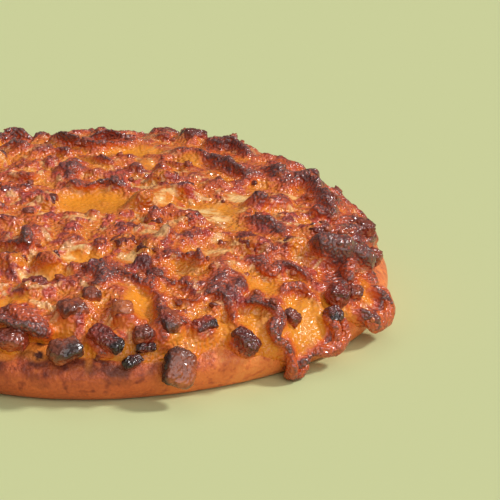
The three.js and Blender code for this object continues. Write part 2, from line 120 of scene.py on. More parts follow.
def new_mesh(name, points_mm, faces):
    """A smooth-shaded piece from points in mm, linked to the scene."""
    mesh = bpy.data.meshes.new(name)
    mesh.from_pydata((np.asarray(points_mm) * MM).tolist(), [], faces)
    mesh.shade_smooth()
    piece = bpy.data.objects.new(name, mesh)
    bpy.context.scene.collection.objects.link(piece)
    return piece


def keep_values(piece, name, values):
    """Keeps a value at each point of the mesh for the material to read."""
    attribute = piece.data.attributes.new(name, "FLOAT", "POINT")
    attribute.data.foreach_set("value", np.asarray(values, np.float32))


# Marks on the rim where fat ran down and burnt, and freckles round them
burnt_spots = [
    (-13.4, -66.0, 1.1, 1.1, 0, 1.0),
    (-13.1, -62.9, 0.9, 0.7, 0, 0.9),
    (-15.9, -65.8, 2.2, 1.5, -20, 0.5),
    (-13.6, -68.3, 2.8, 0.8, -14, 0.6),
    (-6.7, -68.9, 4.0, 1.6, 0, 0.5),
    (-2.0, -70.4, 1.7, 1.3, 0, 0.45),
    (3.2, -70.9, 3.4, 1.6, -12, 0.75),
    (0.8, -68.3, 1.4, 1.0, -40, 0.55),
    (3.8, -73.1, 4.0, 1.0, 0, 0.25),
    (-10.4, -70.4, 1.4, 1.2, 0, 0.35),
    (-14.9, -71.0, 1.5, 1.0, 0, 0.35),
    (-13.3, -73.2, 2.0, 0.8, 0, 0.2),
    (10.6, -70.9, 0.9, 0.8, 0, 0.35),
    (11.7, -68.6, 0.9, 1.2, 0, 0.4),
    (24.7, -63.9, 0.8, 0.8, 0, 0.5),
    (23.6, -65.6, 1.1, 0.9, 0, 0.4),
    (-22.0, -68.0, 1.8, 1.2, 0, 0.4),
]

# Stretches of the rim where oil and a thin film of cheese ran down and stayed bright, made brighter still as
# painted light on the rim's shaded front
oil_and_light_runs = [
    (-20.5, -64.5, 4.0, 2.0, 0, 0.9),
    (-16.3, -63.8, 3.0, 1.8, 0, 0.9),
    (-13.4, -65.2, 3.6, 2.4, 0, 0.9),
    (-2.8, -67.0, 1.0, 4.4, 0, 0.7),
    (0.9, -66.8, 2.2, 1.6, 0, 0.7),
    (4.0, -67.0, 3.0, 1.7, -20, 0.9),
    (10.8, -67.0, 3.4, 2.0, 0, 0.8),
    (24.0, -62.8, 5.0, 1.6, 10, 0.5),
]

# The rim is palest on this side, the side towards the lamps: partly its own tan, partly painted light
PALE_AND_LIT_SIDE = math.radians(-40)
SPOKES = 560
HIDDEN_RINGS = 12
RIM_FROM = 58
RIM_RING_GAP = 0.5


def shape_crust():
    """The dough's skin as rings and spokes, with wide rings under the cheese and close ones on the rim."""
    hidden = np.linspace(4, RIM_FROM, HIDDEN_RINGS)
    shown = np.arange(RIM_FROM + RIM_RING_GAP, CRUST_LENGTH - 0.3, RIM_RING_GAP)
    along = np.concatenate([hidden, shown, [CRUST_LENGTH]])
    rings = len(along)
    angle = np.linspace(0, 2 * math.pi, SPOKES, endpoint=False)
    ring_along, ring_angle = np.meshgrid(along, angle, indexing="ij")
    u = (ring_along * np.cos(ring_angle)).ravel()
    v = (ring_along * np.sin(ring_angle)).ravel()
    even_points = place(u, v, 0.0)
    uneven = 0.35 * noise_over(even_points, 16, 3) + 0.08 * noise_over(even_points, 3.5, 2, seed=4)
    on_foot = np.clip((CRUST_LENGTH - np.hypot(u, v)) / 4, 0, 1)
    points = place(u, v, (np.minimum(uneven, 0.2) - 0.1) * on_foot)
    points[:, 2] = np.maximum(points[:, 2], 0)
    middle = [[0, 0, DOUGH_HEIGHT], [0, 0, 0]]
    top, bottom = len(points), len(points) + 1
    last = (rings - 1) * SPOKES
    faces = []
    for spoke in range(SPOKES):
        after = (spoke + 1) % SPOKES
        faces.append((top, spoke, after))
        faces.append((bottom, last + after, last + spoke))
        for ring in range(rings - 1):
            inner, outer = ring * SPOKES, (ring + 1) * SPOKES
            faces.append((inner + spoke, outer + spoke, outer + after, inner + after))
    piece = new_mesh("crust", np.vstack([points, middle]), faces)
    under_topping = smooth_step(77, 67, np.hypot(u, v))
    # The rim darkens away from its pale side: partly its own tan, partly painted shade where it turns from
    # the lamps
    tan_and_shade = 1 - np.cos(np.arctan2(v, u) - PALE_AND_LIT_SIDE) + 0.15 * noise_over(even_points, 22, 2, seed=7)
    tan_and_shade = np.minimum(tan_and_shade, 0.26 + 0.1 * tan_and_shade) + 0.14 * under_topping - 0.07
    keep_values(piece, "toasted", np.append(under_topping, [1, 0]))
    keep_values(piece, "tan_and_shade", np.append(tan_and_shade, [0.5, 0.5]))
    ragged_u = u + 0.4 * noise_over(even_points, 1.6, 3, seed=9)
    ragged_v = v + 0.4 * noise_over(even_points, 1.6, 3, seed=19)
    for name, spots in (("burnt", burnt_spots), ("oil_and_light", oil_and_light_runs)):
        keep_values(piece, name, np.append(spots_share(ragged_u, ragged_v, spots), [0, 0]))
    return piece


crust = shape_crust()


def from_hex(code):
    """An sRGB hex colour as linear light with full alpha."""
    parts = [int(code[i:i + 2], 16) / 255 for i in (0, 2, 4)]
    linear = [c / 12.92 if c <= 0.04045 else ((c + 0.055) / 1.055) ** 2.4 for c in parts]
    return (*linear, 1.0)


def add_node(material, kind, settings=None, links=None):
    """Adds a node, sets its properties and plain inputs, and links other inputs to a socket, or to the first
    output of a node."""
    tree = material.node_tree
    node = tree.nodes.new(kind)
    for key, value in (settings or {}).items():
        if isinstance(key, str) and hasattr(node, key):
            setattr(node, key, value)
        else:
            node.inputs[key].default_value = value
    for key, source in (links or {}).items():
        socket = source if isinstance(source, bpy.types.NodeSocket) else source.outputs[0]
        tree.links.new(socket, node.inputs[key])
    return node


def colour_stops(node, stops):
    """Fills a colour ramp with sRGB hex colours at their positions."""
    ramp = node.color_ramp
    while len(ramp.elements) < len(stops):
        ramp.elements.new(0.5)
    for element, (position, code) in zip(ramp.elements, stops):
        element.position = position
        element.color = from_hex(code)


def new_material(name):
    """A material with no nodes yet."""
    material = bpy.data.materials.new(name)
    material.use_nodes = True
    material.node_tree.nodes.clear()
    return material


def baked_bread_skin():
    """Bread crust: a slightly greasy skin with a baked tan, blotched red-brown by fat and juice near the
    topping.
    It is darker on the side turned from the lamps, which is painted shade, and its oily runs are partly
    painted light.
    """
    skin = new_material("baked_bread_skin")
    where = add_node(skin, "ShaderNodeTexCoord").outputs["Object"]
    toasted, tan_and_shade, burnt, oil_and_light = (
        add_node(skin, "ShaderNodeAttribute", {"attribute_name": name}).outputs["Fac"]
        for name in ("toasted", "tan_and_shade", "burnt", "oil_and_light"))
    # Sizes in mm of the broad unevenness, the blotches, the freckles and the grain, with how rough each is
    broad, blotch, freckle, grain = (
        add_node(skin, "ShaderNodeTexNoise",
                 {"Scale": 1 / (size * MM), "Detail": detail, "Roughness": roughness}, {"Vector": where})
        for size, detail, roughness in ((11, 3.0, 0.5), (2.6, 4.0, 0.6), (2.2, 2.0, 0.5), (0.7, 2.0, 0.5)))
    even = add_node(skin, "ShaderNodeMath", {"operation": "MULTIPLY_ADD", 1: 0.5, 2: -0.25}, {0: broad})
    patchy = add_node(skin, "ShaderNodeMath", {"operation": "MULTIPLY_ADD", 1: 2.0, 2: -0.98}, {0: blotch})
    spread = add_node(skin, "ShaderNodeMix", {"data_type": "FLOAT"},
                      {"Factor": toasted, "A": even, "B": patchy})
    freckled = add_node(skin, "ShaderNodeMapRange", {"From Min": 0.56, "From Max": 0.72, "To Max": 0.3},
                        {"Value": freckle})
    speckled = add_node(skin, "ShaderNodeMath", {"operation": "ADD"}, {0: tan_and_shade, 1: freckled})
    grainy = add_node(skin, "ShaderNodeMath", {"operation": "MULTIPLY_ADD", 1: 0.3}, {0: grain, 2: speckled})
    tan = add_node(skin, "ShaderNodeMath", {"operation": "ADD", "use_clamp": True}, {0: grainy, 1: spread})
    colour = add_node(skin, "ShaderNodeValToRGB", {}, {"Fac": tan})
    colour_stops(colour, [
        (0.00, "F0904C"), (0.15, "EA7E42"), (0.35, "D4693A"),
        (0.55, "B25232"), (0.75, "8C3E2A"), (0.95, "662A20"),
    ])
    # The oily runs: the bright colour of a thin film of oil and cheese, and painted light on the rim's
    # shaded front
    glazed_and_lit = add_node(skin, "ShaderNodeMix", {"data_type": "RGBA", "B": from_hex("F8923A")},
                      {"Factor": oil_and_light, "A": colour})
    scorched = add_node(skin, "ShaderNodeMix", {"data_type": "RGBA", "B": from_hex("4A2620")},
                        {"Factor": burnt, "A": glazed_and_lit.outputs[2]})
    blistered = add_node(skin, "ShaderNodeMapRange", {"To Min": 0.4, "To Max": 1.0}, {"Value": toasted})
    relief = add_node(skin, "ShaderNodeBump", {"Distance": 0.5 * MM},
                      {"Strength": blistered, "Height": grain})
    shader = add_node(skin, "ShaderNodeBsdfPrincipled",
                      {"Roughness": 0.36, "IOR": 1.45, "Specular IOR Level": 0.35},
                      {"Base Color": scorched.outputs[2], "Normal": relief})
    add_node(skin, "ShaderNodeOutputMaterial", {}, {"Surface": shader})
    return skin


crust.data.materials.append(baked_bread_skin())
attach(crust, "root")
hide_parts("dough_base")

# The cheese: grated mozzarella melted into one sheet that drips over the rim. It has risen into folds
# and blisters that browned on top, and it covers chopped salami that shows through it as red bumps.

# The sheet is a grid of cells, and takes its lift in mm from its solid, probed from above to just under the
# dough's skin. Averaging in rounds closes the dice's sockets, and thin cheese fills gaps up to a reach
CELLS = 312
SHEET_REACH = 79.0
CELL_SIZE = 2 * SHEET_REACH / CELLS
CHEESE_THICKNESS = 2.7
CHEESE_LOWEST = 0.6
PROBE_ABOVE = 14.0
PROBE_BELOW = 1.5
NO_CHEESE = -3.0
THIN_CHEESE = 1.3
GAP_REACH = 3
SOCKET_MARGIN = 0.5
SOCKET_ROUNDS = 160
STRAY = 0.8


def disc_grid(cells, reach):
    """The (u, v) places of a square grid drawn out to a disc with even cells."""
    line = np.linspace(-1, 1, cells + 1)
    x, y = np.meshgrid(line, line, indexing="ij")
    wide = np.abs(x) >= np.abs(y)
    radius = np.where(wide, x, y)
    safe = np.where(radius == 0, 1, radius)
    turn = np.where(wide, math.pi / 4 * y / safe, math.pi / 2 - math.pi / 4 * x / safe)
    return reach * radius * np.cos(turn), reach * radius * np.sin(turn)


def blur(values, sigma_mm):
    """Softens a grid of values over a distance."""
    sigma = sigma_mm / CELL_SIZE
    half = max(1, int(3 * sigma))
    weights = np.exp(-0.5 * (np.arange(-half, half + 1) / sigma) ** 2)
    weights /= weights.sum()
    for axis in (0, 1):
        padded = np.pad(values, [(half, half) if a == axis else (0, 0) for a in (0, 1)], mode="edge")
        values = sum(w * np.take(padded, np.arange(values.shape[axis]) + i, axis=axis)
                     for i, w in enumerate(weights))
    return values


def extreme_near(values, reach_mm, pick):
    """The lowest or the highest value within a reach of each place."""
    steps = round(reach_mm / CELL_SIZE)
    found = values
    for step_u in range(-steps, steps + 1):
        for step_v in range(-steps, steps + 1):
            if step_u ** 2 + step_v ** 2 <= steps ** 2:
                found = pick(found, np.roll(values, (step_u, step_v), (0, 1)))
    return found


def probe_lift(nodes, u, v):
    """How far these solids of the frame stand over the dough at each place, or NO_CHEESE where none is."""
    corners, faces = [], []
    for node in nodes:
        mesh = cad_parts[node].data
        first = len(corners)
        corners += [p.co[:] for p in mesh.vertices]
        faces += [[first + i for i in f.vertices] for f in mesh.polygons]
    tree = BVHTree.FromPolygons(corners, faces)
    above = place(u, v, PROBE_ABOVE) * MM
    below = place(u, v, -PROBE_BELOW) * MM
    lifts = np.full(len(u), NO_CHEESE)
    for i, (start, end) in enumerate(zip(above.tolist(), below.tolist())):
        way = Vector(end) - Vector(start)
        hit = tree.ray_cast(Vector(start), way, way.length)
        if hit[0] is not None:
            lifts[i] = PROBE_ABOVE - (PROBE_ABOVE + PROBE_BELOW) * hit[3] / way.length
    return lifts


dice_nodes = sorted(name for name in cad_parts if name.startswith("salami"))
grid_u, grid_v = disc_grid(CELLS, SHEET_REACH)
flat_u, flat_v = grid_u.ravel(), grid_v.ravel()
flat_points = place(flat_u, flat_v, 0.0)
from_middle = np.hypot(grid_u, grid_v)


def grid_noise(size, octaves, seed):
    """Smooth noise from -1 to 1 over the sheet's grid."""
    return noise_over(flat_points, size, octaves, seed).reshape(grid_u.shape)


def wander(points):
    """How far the sheet's relief strays sideways from its solid at each point."""
    return [STRAY * noise_over(points, 5, 2, seed) for seed in (12, 15)]


off_u, off_v = wander(flat_points)
strayed_u, strayed_v = flat_u + off_u, flat_v + off_v


def found_sheet():
    """The cheese's lift, found on its solid along lines that wander a little, with the dice's sockets and
    small gaps closed, and how far the dice stand over it."""
    lift = probe_lift(["cheese_topping"], strayed_u, strayed_v).reshape(grid_u.shape)
    dice_lift = probe_lift(dice_nodes, flat_u, flat_v).reshape(grid_u.shape)
    under_die = probe_lift(dice_nodes, strayed_u, strayed_v).reshape(grid_u.shape) > NO_CHEESE
    covered = blur(under_die.astype(float), SOCKET_MARGIN) > 0.08
    lift = np.where(covered, CHEESE_THICKNESS, lift)
    for _ in range(SOCKET_ROUNDS):
        mean = sum(np.roll(lift, step, axis) for axis in (0, 1) for step in (-1, 1)) / 4
        lift = np.where(covered, mean, lift)
    thin = np.minimum(lift, THIN_CHEESE)
    closed = extreme_near(extreme_near(thin, GAP_REACH, np.maximum), GAP_REACH, np.minimum)
    lift = np.maximum(lift, closed)
    return lift, np.maximum(dice_lift - lift, 0)


sheet_lift, dice_stand = found_sheet()

# The folds in the sheet: width and height in mm, how brown, and the corners of the line that each follows
fold_lines = [
    (4.2, 3.4, 1.15, [(-9.5, 14), (-7, 9), (-4, 6.5), (-1, 8), (2, 8.5), (6, 6)]),
    (3.0, 1.8, 0.9, [(-9.5, 15), (-6, 18), (-1.5, 17.5)]),
    (3.8, 2.8, 0.75, [(11, -39), (14, -36), (17, -34.5), (22, -35.5)]),
    (3.6, 2.8, 0.8, [(-25, -26), (-21.5, -27), (-17.5, -30), (-15, -32)]),
    (5.2, 3.6, 0.85, [(25, 31), (29.5, 26), (33, 20.5), (38, 20)]),
    (5.0, 3.0, 0.85, [(33, 9), (35, 13), (37, 17)]),
    (4.0, 3.2, 0.85, [(41, 26), (43, 23), (44.5, 18.5)]),
    (3.8, 3.2, 0.8, [(47, 18), (51, 20.5), (54, 15), (56, 7)]),
    (4.6, 3.8, 0.9, [(29, 43.5), (33, 43.5), (37.5, 38)]),
    (4.0, 3.6, 0.8, [(-11.5, 47), (-8, 45.5), (-5.5, 44.5)]),
    (4.8, 3.8, 0.9, [(-3, 46), (1, 47.5), (6, 46.5)]),
    (6.4, 4.0, 0.8, [(-27, 52), (-23, 53.5), (-18, 53)]),
    (3.4, 2.6, 0.8, [(-15, 33.5), (-11, 34.5), (-8, 32)]),
    (5.2, 3.0, 0.8, [(-26, 38), (-22, 39.5), (-19, 37)]),
    (3.6, 2.6, 0.75, [(-4, 31), (0, 27.5), (3.5, 25)]),
    (3.6, 3.0, 0.75, [(54.5, 7), (56.5, 2.5), (56, -3)]),
    (3.0, 2.4, 0.85, [(15.5, 27), (19, 24.5), (22.5, 25.5)]),
    (3.2, 2.4, 0.75, [(-2, 37), (2, 39.5), (8, 40.5)]),
    (4.0, 3.2, 0.8, [(-4, -46.5), (-1, -48), (3, -44), (6, -44.5), (10, -47), (14, -51.5)]),
    (2.8, 2.6, 0.8, [(12.5, -43), (15.5, -45.5), (17.5, -44.5), (20.5, -47.5)]),
    (2.4, 2.2, 0.85, [(16, -51), (18, -52), (21, -52)]),
    (4.2, 3.2, 0.8, [(11.5, -52), (13, -56), (14.5, -60)]),
    (2.6, 2.2, 0.7, [(15, -60), (17.5, -59.5), (20.5, -60.5)]),
    (5.4, 4.6, 0.75, [(-26, -55.5), (-21.5, -57.5), (-19, -58), (-14.5, -60), (-10, -62.5)]),
    (6.6, 5.2, 0.95, [(49, -26), (52, -22.5), (56, -21), (60, -23.5)]),
    (4.2, 4.0, 0.9, [(58, -23), (56.5, -27), (54.5, -34)]),
    (3.2, 3.2, 0.85, [
        (30.5, -51), (34, -50), (37.5, -51), (39.5, -54), (37.8, -57), (39, -59), (42, -57.6)]),
    (3.2, 2.8, 0.8, [(31, -34.5), (35.5, -34), (38, -37.5), (41, -33), (45, -34.5), (47.5, -37.5)]),
    (2.6, 2.4, 0.75, [(39.5, -45), (41, -42), (44.5, -41), (47.5, -43.5)]),
    (4.6, 3.8, 0.8, [(42, -58.5), (43.6, -61.2), (45.4, -62.2), (47, -60), (47.2, -57.5)]),
    (3.4, 3.0, 0.72, [(47.5, -57), (50, -54.5), (53, -51.5), (54.5, -49), (54, -46.5), (52, -45)]),
    (3.2, 2.8, 0.75, [(48.5, -47.5), (50.8, -49.2), (52.5, -52)]),
    (2.8, 2.6, 0.8, [(22, -50.5), (25.5, -48.5), (27.5, -51.5), (29.5, -57)]),
    (4.2, 3.0, 0.9, [(33, -9), (37, -12), (40.5, -15.5), (42.5, -20)]),
    (4.0, 3.6, 0.7, [
        (60, -32), (63.5, -31.5), (65.2, -33), (64.8, -36), (62.8, -38.5), (59.5, -41), (57, -40.5)]),
]

# A fold's line has a place at each step in mm, and its relief reaches this many widths to each side
FOLD_STEP = 0.6
FOLD_REACH = 2.6


def line_through(corners, step):
    """Places every step along a smooth line through the corners."""
    corners = np.array(corners, float)
    ends = np.vstack([2 * corners[:1] - corners[1:2], corners, 2 * corners[-1:] - corners[-2:-1]])
    places = []
    for before, start, end, after in zip(ends, ends[1:], ends[2:], ends[3:]):
        for share in np.arange(0, 1, step / np.linalg.norm(end - start)):
            bend = 2 * before - 5 * start + 4 * end - after
            twist = 3 * start - before - 3 * end + after
            places.append(start + 0.5 * ((end - before) * share + bend * share ** 2 + twist * share ** 3))
    places.append(corners[-1])
    return np.array(places)


def way_along(line):
    """The direction of a line at each of its places."""
    ahead = np.gradient(line, axis=0)
    return ahead / np.linalg.norm(ahead, axis=1, keepdims=True)


def fold_relief():
    """What the folds give each place: the crest's brownness, its rise in mm, how far it hangs over towards
    the front in mm, and how deep the place lies in the hollow under a crest, from 0 to 1."""
    strayed = np.stack([strayed_u, strayed_v], -1)
    broken = np.clip(0.8 + 0.7 * noise_over(flat_points, 5, 2, seed=81), 0.3, 1.1)
    crest, rise, hang, hollow = (np.zeros(len(flat_u)) for _ in range(4))
    for width, height, brownest, corners in fold_lines:
        line = line_through(corners, FOLD_STEP)
        ahead = way_along(line)
        forward = np.stack([ahead[:, 1], -ahead[:, 0]], -1) * np.where(ahead[:, :1] < 0, -1, 1)
        low, high = line.min(0) - FOLD_REACH * width, line.max(0) + FOLD_REACH * width
        near = np.flatnonzero(((strayed > low) & (strayed < high)).all(1))
        offset = strayed[near][:, None] - line
        nearest = np.linalg.norm(offset, axis=2).argmin(1)
        offset = offset[np.arange(len(near)), nearest]
        frontal = -forward[nearest, 1]
        ahead_of = (offset * forward[nearest]).sum(1)
        beyond = np.abs((offset * ahead[nearest]).sum(1))
        share = nearest / (len(line) - 1)
        fading = 0.45 + 0.55 * smooth_step(0, 0.2, np.minimum(share, 1 - share))
        steep = np.where(ahead_of > 0, 0.62 - 0.24 * frontal, 0.62 + 0.3 * frontal)
        top = fading * (1 - smooth_step(0.15, 1.0, np.linalg.norm(offset, axis=1) / (width * steep)))
        under = smooth_step(0.25, 0.8, ahead_of / width) * smooth_step(2.4, 1.2, ahead_of / width)
        under *= frontal * smooth_step(1.2, 0.3, beyond / width)
        crest[near] = np.maximum(crest[near], brownest * top * broken[near])
        rise[near] = np.maximum(rise[near], height * top)
        hang[near] = np.maximum(hang[near], height * top * frontal)
        hollow[near] = np.maximum(hollow[near], under)
    return (values.reshape(grid_u.shape) for values in (crest, rise, hang, hollow))


crests, fold_rise, fold_hang, hollows = fold_relief()

# Smooth pools of cheese that nothing pokes through
pools = [
    (-1, -2, 10, 8, 0, 1.0),
    (15, 0, 4, 4.5, 0, 0.8),
    (26, -5, 8, 5, 0, 0.9),
    (-4.5, -34, 5, 3.6, 0, 0.9),
    (-16, -65, 6, 3, 0, 0.7),
    (5, -67, 4, 2.4, 0, 0.6),
    (-2.3, -67, 2.4, 2, 0, 0.5),
    (14, -63.4, 4, 2.2, 0, 0.5),
    (26, -59, 4, 2.6, 0, 0.6),
    (-19.5, -52, 4.4, 2.6, 0, 0.9),
    (-8.7, -60.5, 3, 2.6, 0, 0.7),
    (-14.9, -63.5, 4, 1.6, 0, 0.7),
    (-2, -64.5, 2.4, 3, 0, 0.6),
    (5.1, -61, 2.4, 2, 0, 0.7),
    (-12, -42, 6, 2.6, 0, 0.9),
    (8, -54, 3.4, 5.5, 0, 0.9),
    (45.5, -50, 6, 6.5, 0, 0.85),
    (36, -57, 5, 3.4, 0, 0.6),
    (36, -43, 5, 3.4, 0, 0.7),
    (10, 37, 7, 4, 0, 0.9),
    (-38, 12, 8, 6, 0, 0.9),
    (-47, -22, 6, 7, 0, 0.9),
    (-30, 43, 7, 5, 0, 0.9),
    (51.6, -45.4, 3.6, 4.4, 15, 1.0),
    (60, -33, 2.6, 3.4, 0, 0.8),
    (-5, 28, 3.6, 3.4, 0, 0.7),
    (11, 24, 3.4, 5, 0, 0.6),
    (22, 28, 2.4, 3.6, 0, 0.7),
]

# Stretched strands of cheese that stayed pale
pale_strands = [
    (-13, -10.5, 3.6, 1.4, 25, 0.9),
    (-4, -13, 5, 1.5, 10, 0.7),
    (-6.5, -32, 6.4, 1.6, 58, 1.0),
    (-15, -41.5, 3.6, 1.5, -10, 1.0),
    (13.5, -27, 4, 1.6, 70, 0.7),
    (23, -6, 5.4, 3, 10, 0.9),
    (26, -10, 4.4, 2.4, 15, 0.9),
    (14.7, 2, 4, 3, 40, 0.8),
    (33, 2.4, 4, 2.4, -20, 0.8),
    (12.5, -23, 4, 2.4, 20, 0.6),
    (26.5, -30, 3.6, 2.4, 20, 0.6),
    (7, -34.5, 2, 2.6, 0, 0.6),
    (-17.5, 18.4, 4.4, 1.4, 10, 0.9),
    (52.6, -45.5, 2.2, 1.5, 30, 0.9),
    (16, -18, 3.6, 1.3, 60, 0.5),
    (46, 9, 5, 1.2, 30, 0.6),
    (-24, -11, 4, 1.6, -30, 0.8),
    (-36, 24, 5, 1.6, 50, 0.8),
    (-52, -6, 5, 1.8, 80, 0.8),
    (-34, -36, 6, 1.6, 20, 0.8),
]

# Stretches that browned deepest in the oven
deep_browned = [
    (56, -22, 9, 8, 0, 1.0),
    (38.5, -15, 5.5, 4, -20, 1.1),
    (36, 23, 8, 7, -20, 1.0),
    (47, 22, 9, 7, -20, 1.1),
    (28, 25, 4, 5, 0, 0.8),
    (23, 22, 2.5, 3, 0, 0.9),
    (19, 5.5, 2.6, 2.2, 0, 0.9),
    (31, 40, 7, 5, 0, 0.9),
    (5, -43, 12, 4.5, 0, 0.8),
    (27, -47, 4.5, 5, 0, 0.7),
    (38.4, -33, 6, 2.2, 0, 0.9),
    (17.6, -49, 4, 2.4, 0, 0.8),
    (42.3, -42, 4, 2.4, 0, 0.7),
    (40, -50, 4, 4, 0, 0.6),
    (-4, 13, 6, 2.6, -20, 1.1),
    (2, 9, 4, 2.2, -20, 1.0),
    (-21, 54, 8, 4, 0, 0.8),
    (-7, 45, 4.5, 3.2, 0, 0.9),
    (3.5, 44, 5, 3.4, 0, 0.9),
    (64, -36, 5, 6, 0, 0.7),
    (54, 10, 6, 10, 0, 0.7),
    (60, -4, 6, 9, 0, 0.8),
    (54, -33, 4.4, 8, 0, 1.5),
    (-50, 30, 10, 8, 30, 0.8),
    (-60, -8, 7, 12, 0, 0.7),
    (-38, -46, 9, 6, 40, 0.7),
    (-14, 62, 14, 5, 0, 0.6),
    (22, 60, 12, 6, -20, 0.6),
]

# A broad blister at the right, with a lower hump beside it
blister_humps = [
    (51.8, -24.0, 5.4, 5.0, 25, 1.0),
    (58.0, -22.4, 4.6, 3.8, 25, 0.8),
]
BLISTER_HEIGHT = 8.0


def blister_dome():
    """The height of the blister's dome over the dough, and how far each place belongs to it."""
    inside = spots_share(grid_u, grid_v, blister_humps)
    lumpy = 1 + 0.22 * grid_noise(5, 2, 85)
    return BLISTER_HEIGHT * inside ** 0.8 * lumpy, smooth_step(0.05, 0.6, inside)


dome, on_dome = blister_dome()
beside_dome = 1 - on_dome
pool = spots_share(grid_u, grid_v, pools)
drawn_out = flat_points * (1.0, 2.6, 1.0)
streaks = smooth_step(-0.35, 0.15, noise_over(drawn_out, 3.0, 3, seed=53)).reshape(grid_u.shape)
pale = spots_share(grid_u, grid_v, pale_strands)
smoothed = np.maximum(pool, pale)
pale *= streaks

# The bits that lie within a reach of the middle, the share of them that is meat, and the share below which
# they aren't shreds
BITS = 3200
BITS_REACH = 77
MEAT_SHARE = 0.5
SHREDS_FROM = 0.78


def anywhere(draw, reach):
    """A place drawn evenly from all those within a reach of the middle."""
    heading, away = draw.uniform(0, 2 * math.pi), reach * math.sqrt(draw.uniform(0, 1))
    return away * math.cos(heading), away * math.sin(heading)


def stamp_bits(lift):
    """Raises chopped salami, shreds and lumps of cheese under the skin: the height of each place, how far
    it is meat or a pale shred, and its tone."""
    draw = np.random.default_rng(11)
    raised = np.zeros_like(lift)
    meat, shred = np.zeros_like(lift), np.zeros_like(lift)
    tone = np.full_like(lift, 0.5)
    for _ in range(BITS):
        middle_u, middle_v = anywhere(draw, BITS_REACH)
        kind, own_tone = draw.uniform(0, 1), draw.uniform(0, 1)
        half_long = 0.6 + 1.3 * draw.uniform(0, 1) ** 1.8
        half_wide = half_long * draw.uniform(0.55, 0.95)
        height = half_wide * draw.uniform(0.35, 0.75)
        if kind > SHREDS_FROM:
            half_long, half_wide, height = 1.5 * half_long, 0.5 + 0.2 * half_wide, 0.3 + 0.3 * own_tone
        turn = draw.uniform(0, math.pi)
        slope_long, slope_wide = draw.uniform(-0.3, 0.3, 2)
        reach = half_long + 0.8
        near = (np.abs(grid_u - middle_u) < reach) & (np.abs(grid_v - middle_v) < reach)
        du, dv = grid_u[near] - middle_u, grid_v[near] - middle_v
        long = du * math.cos(turn) + dv * math.sin(turn)
        wide = dv * math.cos(turn) - du * math.sin(turn)
        inside = 1 - smooth_step(0.5, 1.3, np.abs(long / half_long) ** 3 + np.abs(wide / half_wide) ** 3)
        bump = (height + slope_long * long + slope_wide * wide) * inside
        higher = bump > raised[near]
        core = smooth_step(0.15, 0.6, inside)
        meat[near] = np.where(higher, core * (kind < MEAT_SHARE), meat[near])
        shred[near] = np.where(higher, core * (kind > SHREDS_FROM), shred[near])
        tone[near] = np.where(higher, own_tone, tone[near])
        raised[near] = np.maximum(raised[near], bump)
    shown = (1 - 0.92 * smoothed) * (1 - 0.75 * hollows) * smooth_step(0.4, 1.4, lift)
    return raised * shown, meat * shown, shred * shown, tone


def share_in_order(score, counted):
    """Each value's place in the order of the counted ones, from 0 for the lowest to 1 for the highest."""
    return np.searchsorted(np.sort(score[counted]), score) / counted.sum()


# In mm: how far the solid's facets are blurred, how wide its ridges are, how far a high place leans at
# most, and the lift at which the sheet ends
FACET = 0.5
RIDGE = 2.4
MOST_LEAN = 1.6
SHEET_EDGE = -1.0


def smoothed_sheet():
    """The sheet's lift with the solid's facets blurred away, its hem at the front thinned out and its ridges
    sharpened, and how far each place is on the sheet."""
    trimmed = extreme_near(extreme_near(sheet_lift, 1.5, np.minimum), 1.5, np.maximum)
    lift = blur(0.3 * sheet_lift + 0.7 * trimmed, FACET)
    front = smooth_step(60, 66, from_middle) * smooth_step(-30, -44, grid_v)
    feathered = smooth_step(0.5, 0.95, blur((sheet_lift > 0).astype(float), RIDGE))
    lift = np.where(lift > 0, lift * (1 - front * (1 - feathered)), lift)
    on_sheet = smooth_step(0.3, 1.5, lift)
    stands_out = np.clip(lift - blur(lift, RIDGE), -1.0, 0.9)
    return lift + 0.35 * (1 - smoothed) * on_sheet * stands_out, on_sheet


def drawn_over_dice():
    """How far the dice hold up the cheese on them: to their tops in the middle, and less near the rim."""
    inner = smooth_step(62, 54, from_middle)
    hides_die = np.clip(0.95 + 0.7 * grid_noise(9, 1, 57), 0.65, 1.15)
    hides_die = hides_die - 0.6 * smooth_step(48, 60, from_middle)
    held = extreme_near((dice_stand + 0.5 * (dice_stand > 0.3)) * hides_die, 0.8, np.maximum)
    return inner * blur(held, 1.0) * 1.1 + (1 - inner) * blur(held, 0.7)


def browned(total, lift, drawn_up, hem, shred):
    """Each place's rank in browning, from 0 for the palest to 1. What stands out and the stretches, crests
    and blister named above lead, and pools, pale strands, the hem and the hollows come last."""
    deep = spots_share(grid_u, grid_v, deep_browned)
    bare = total - drawn_up * np.clip(1 - deep - smooth_step(50, 60, from_middle), 0.2, 1)
    stand = blur(bare, FACET) - blur(bare, 2.5)
    broad_stand = blur(bare, 1.2) - blur(bare, 6.0)
    score = 0.2 * stand + 0.2 * broad_stand + 0.38 * (bare - blur(bare, 0.9))
    score += 0.12 * grid_noise(9, 3, 5) + 0.2 * grid_noise(1.6, 3, 61)
    score += 0.08 * smooth_step(30, 62, from_middle)
    leading = 0.6 * deep + 0.62 * crests ** 1.5 + 0.9 * smooth_step(3.5, 7.0, dome)
    lagging = 0.6 * pool + 0.9 * pale + 0.5 * hem + 0.15 * shred + 0.25 * hollows
    score = score + leading - lagging
    thin = smooth_step(THIN_CHEESE, 0.2, lift)
    return share_in_order(score, total > 0) * (1 - 0.45 * thin) + 0.15 * thin


